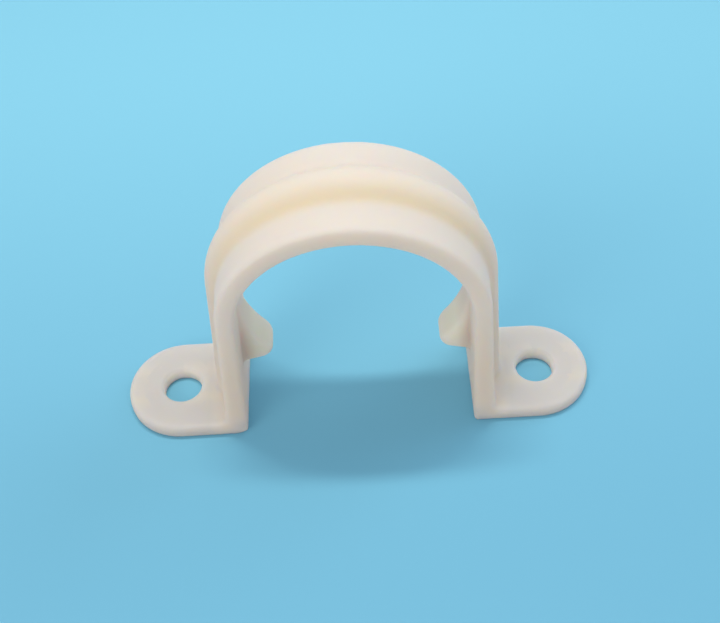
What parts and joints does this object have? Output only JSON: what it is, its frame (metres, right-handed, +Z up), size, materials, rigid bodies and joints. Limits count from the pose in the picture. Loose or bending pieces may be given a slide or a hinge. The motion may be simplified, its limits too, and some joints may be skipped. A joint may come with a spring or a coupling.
{
  "type": "pipe strap",
  "caption": "Moulded plastic saddle strap for fixing a pipe to a surface, with a ribbed arch, leaning legs, round-ended screw feet and inner stops that the pipe snaps past.",
  "frame": {"origin": "on the mounting surface, halfway between the feet and in the middle of the strap's width", "axes": "+X from the left foot to the right foot, +Y along the pipe, +Z up from the mounting surface"},
  "size_m": [0.0704, 0.0164, 0.0445],
  "materials": {
    "strap_plastic": "satin moulded"
  },
  "bodies": {
    "root": {"pipe_strap": "strap_plastic"}
  },
  "joints": []
}
